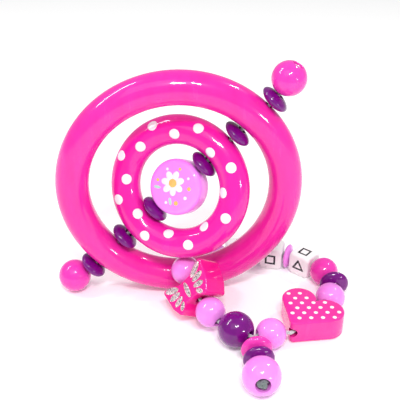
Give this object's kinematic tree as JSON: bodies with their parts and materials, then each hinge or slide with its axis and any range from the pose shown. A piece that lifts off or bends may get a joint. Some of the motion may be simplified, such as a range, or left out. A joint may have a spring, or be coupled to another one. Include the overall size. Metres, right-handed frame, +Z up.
{
  "type": "grasping ring",
  "caption": "Wooden baby grasping ring: a dotted ring and a disc turn inside an outer ring on a slanted cord, and a loop of beads with a heart and a butterfly slides along the ring.",
  "frame": {"origin": "on the table, below the middle of the object's bounding box", "axes": "+Z up from the table, +X to the right across the outer ring, +Y away from the side with the butterfly, so the outer ring's plane is XZ"},
  "size_m": [0.122, 0.0948, 0.1017],
  "materials": {
    "ring_pink": "gloss lacquer",
    "dotted_pink": "gloss lacquer with white dots",
    "butterfly_pink": "gloss lacquer with silver glitter",
    "heart_pink": "gloss lacquer with white dots",
    "hot_pink": "gloss lacquer",
    "light_pink": "gloss lacquer",
    "purple": "gloss lacquer",
    "disc_pink": "gloss lacquer with a printed flower",
    "cube_white": "satin lacquer",
    "cord_white": "satin braid",
    "knot_grey": "satin braid"
  },
  "bodies": {
    "base": {"outer_ring": "ring_pink", "axis_cord": "cord_white", "upper_knot": "cord_white", "lower_knot": "cord_white"},
    "carrier": {"cross_cord": "cord_white"},
    "loop": {"front_cord": "cord_white", "back_cord": "cord_white"},
    "junction": {"junction_knot": "knot_grey"},
    "tail": {"tail_cord": "cord_white", "tail_knot": "knot_grey"},
    "inner_ring": {"inner_ring": "dotted_pink"},
    "picture_disc": {"picture_disc": "disc_pink"},
    "upper_outer_lens": {"upper_outer_lens": "purple"},
    "upper_middle_lens": {"upper_middle_lens": "purple"},
    "upper_inner_lens": {"upper_inner_lens": "purple"},
    "lower_inner_lens": {"lower_inner_lens": "purple"},
    "lower_middle_lens": {"lower_middle_lens": "purple"},
    "lower_outer_lens": {"lower_outer_lens": "purple"},
    "upper_end_bead": {"upper_end_bead": "hot_pink"},
    "lower_end_bead": {"lower_end_bead": "hot_pink"},
    "ring_bead": {"ring_bead": "light_pink"},
    "butterfly_bead": {"butterfly_bead": "butterfly_pink"},
    "butterfly_end_bead": {"butterfly_end_bead": "light_pink"},
    "purple_bead": {"purple_bead": "purple"},
    "heart_tip_bead": {"heart_tip_bead": "light_pink"},
    "heart_bead": {"heart_bead": "heart_pink"},
    "heart_notch_bead": {"heart_notch_bead": "light_pink"},
    "chain_lens": {"chain_lens": "purple"},
    "hot_pink_bead": {"hot_pink_bead": "hot_pink"},
    "cube_1": {"cube_1": "cube_white"},
    "cube_spacer_1": {"cube_spacer_1": "light_pink"},
    "cube_2": {"cube_2": "cube_white"},
    "cube_spacer_2": {"cube_spacer_2": "light_pink"},
    "cube_3": {"cube_3": "cube_white"},
    "back_bead": {"back_bead": "light_pink"},
    "tail_pink_lens": {"tail_pink_lens": "hot_pink"},
    "tail_purple_lens": {"tail_purple_lens": "purple"},
    "tail_bead": {"tail_bead": "light_pink"}
  },
  "joints": [
    {"name": "inner_ring_spin", "type": "hinge", "parent": "base", "child": "inner_ring", "pos_m": [-0.00938, 0.02386, 0.04925], "axis": [0.7009, 0, 0.7133], "continuous": true},
    {"name": "picture_disc_spin", "type": "hinge", "parent": "base", "child": "picture_disc", "pos_m": [-0.00938, 0.02386, 0.04925], "axis": [0.7009, 0, 0.7133], "continuous": true},
    {"name": "upper_outer_lens_spin", "type": "hinge", "parent": "base", "child": "upper_outer_lens", "pos_m": [-0.00938, 0.02386, 0.04925], "axis": [0.7009, 0, 0.7133], "continuous": true},
    {"name": "upper_middle_lens_spin", "type": "hinge", "parent": "base", "child": "upper_middle_lens", "pos_m": [-0.00938, 0.02386, 0.04925], "axis": [0.7009, 0, 0.7133], "continuous": true},
    {"name": "upper_inner_lens_spin", "type": "hinge", "parent": "base", "child": "upper_inner_lens", "pos_m": [-0.00938, 0.02386, 0.04925], "axis": [0.7009, 0, 0.7133], "continuous": true},
    {"name": "lower_inner_lens_spin", "type": "hinge", "parent": "base", "child": "lower_inner_lens", "pos_m": [-0.00938, 0.02386, 0.04925], "axis": [0.7009, 0, 0.7133], "continuous": true},
    {"name": "lower_middle_lens_spin", "type": "hinge", "parent": "base", "child": "lower_middle_lens", "pos_m": [-0.00938, 0.02386, 0.04925], "axis": [0.7009, 0, 0.7133], "continuous": true},
    {"name": "lower_outer_lens_spin", "type": "hinge", "parent": "base", "child": "lower_outer_lens", "pos_m": [-0.00938, 0.02386, 0.04925], "axis": [0.7009, 0, 0.7133], "continuous": true},
    {"name": "upper_end_bead_spin", "type": "hinge", "parent": "base", "child": "upper_end_bead", "pos_m": [0.03219, 0.02386, 0.09492], "axis": [0.5075, 0, 0.8616], "continuous": true},
    {"name": "lower_end_bead_spin", "type": "hinge", "parent": "base", "child": "lower_end_bead", "pos_m": [-0.05423, 0.02386, 0.00675], "axis": [-0.8438, 0, -0.5367], "continuous": true},
    {"name": "loop_slide", "type": "hinge", "parent": "base", "child": "carrier", "pos_m": [-0.00938, 0.02386, 0.04925], "axis": [0, 1, 0], "range_deg": [-45, 25]},
    {"name": "ring_bead_spin", "type": "hinge", "parent": "carrier", "child": "ring_bead", "pos_m": [-0.00718, 0.01405, 0.01523], "axis": [0.4082, -0.8754, -0.2588], "continuous": true},
    {"name": "loop_swing", "type": "hinge", "parent": "carrier", "child": "loop", "pos_m": [-0.00465, 0.00862, 0.01362], "axis": [-0.2467, 0.9564, 0.1564], "range_deg": [-20, 55]},
    {"name": "butterfly_bead_spin", "type": "hinge", "parent": "loop", "child": "butterfly_bead", "pos_m": [-0.00297, 0.00425, 0.01187], "axis": [0.3357, -0.8745, -0.3502], "continuous": true},
    {"name": "butterfly_end_bead_spin", "type": "hinge", "parent": "loop", "child": "butterfly_end_bead", "pos_m": [0.00229, -0.00487, 0.00839], "axis": [0.5777, -0.7667, -0.28], "continuous": true},
    {"name": "purple_bead_spin", "type": "hinge", "parent": "loop", "child": "purple_bead", "pos_m": [0.01178, -0.01425, 0.0071], "axis": [0.788, -0.6157, 0], "continuous": true},
    {"name": "heart_tip_bead_spin", "type": "hinge", "parent": "loop", "child": "heart_tip_bead", "pos_m": [0.0252, -0.01566, 0.006], "axis": [0.9848, 0.1736, 0], "continuous": true},
    {"name": "heart_bead_spin", "type": "hinge", "parent": "loop", "child": "heart_bead", "pos_m": [0.03338, -0.01422, 0.0048], "axis": [0.6388, 0.7694, 0], "continuous": true},
    {"name": "heart_notch_bead_spin", "type": "hinge", "parent": "loop", "child": "heart_notch_bead", "pos_m": [0.05189, 0.00652, 0.006], "axis": [0.4901, 0.8716, 0], "continuous": true},
    {"name": "chain_lens_spin", "type": "hinge", "parent": "loop", "child": "chain_lens", "pos_m": [0.05498, 0.01549, 0.006], "axis": [0.0175, 0.9998, 0], "continuous": true},
    {"name": "hot_pink_bead_spin", "type": "hinge", "parent": "loop", "child": "hot_pink_bead", "pos_m": [0.05221, 0.02457, 0.006], "axis": [-0.4617, 0.887, 0], "continuous": true},
    {"name": "cube_1_spin", "type": "hinge", "parent": "loop", "child": "cube_1", "pos_m": [0.04507, 0.03371, 0.005], "axis": [-0.749, 0.6626, 0], "continuous": true},
    {"name": "cube_spacer_1_spin", "type": "hinge", "parent": "loop", "child": "cube_spacer_1", "pos_m": [0.03845, 0.03768, 0.0053], "axis": [-0.9026, 0.4305, 0], "continuous": true},
    {"name": "cube_2_spin", "type": "hinge", "parent": "loop", "child": "cube_2", "pos_m": [0.03158, 0.04018, 0.005], "axis": [-0.9613, 0.2756, 0], "continuous": true},
    {"name": "cube_spacer_2_spin", "type": "hinge", "parent": "loop", "child": "cube_spacer_2", "pos_m": [0.02438, 0.04172, 0.0053], "axis": [-0.9962, 0.0872, 0], "continuous": true},
    {"name": "cube_3_spin", "type": "hinge", "parent": "loop", "child": "cube_3", "pos_m": [0.01662, 0.04144, 0.005], "axis": [-0.9781, -0.2079, 0], "continuous": true},
    {"name": "back_bead_spin", "type": "hinge", "parent": "loop", "child": "back_bead", "pos_m": [0.00588, 0.03711, 0.006], "axis": [-0.866, -0.5, 0], "continuous": true},
    {"name": "tail_swing", "type": "hinge", "parent": "loop", "child": "junction", "pos_m": [0.01857, -0.02039, 0.006], "axis": [0, 0, 1], "range_deg": [-12, 6]},
    {"name": "tail_lift", "type": "hinge", "parent": "junction", "child": "tail", "pos_m": [0.01857, -0.02039, 0.006], "axis": [-0.9976, -0.0698, 0], "range_deg": [-30, 30]},
    {"name": "tail_pink_lens_spin", "type": "hinge", "parent": "tail", "child": "tail_pink_lens", "pos_m": [0.01887, -0.02458, 0.006], "axis": [0.0698, -0.9976, 0], "continuous": true},
    {"name": "tail_purple_lens_spin", "type": "hinge", "parent": "tail", "child": "tail_purple_lens", "pos_m": [0.01921, -0.03017, 0.006], "axis": [0.0523, -0.9986, 0], "continuous": true},
    {"name": "tail_bead_spin", "type": "hinge", "parent": "tail", "child": "tail_bead", "pos_m": [0.01923, -0.04031, 0.00725], "axis": [-0.0172, -0.9857, 0.1678], "continuous": true}
  ]
}
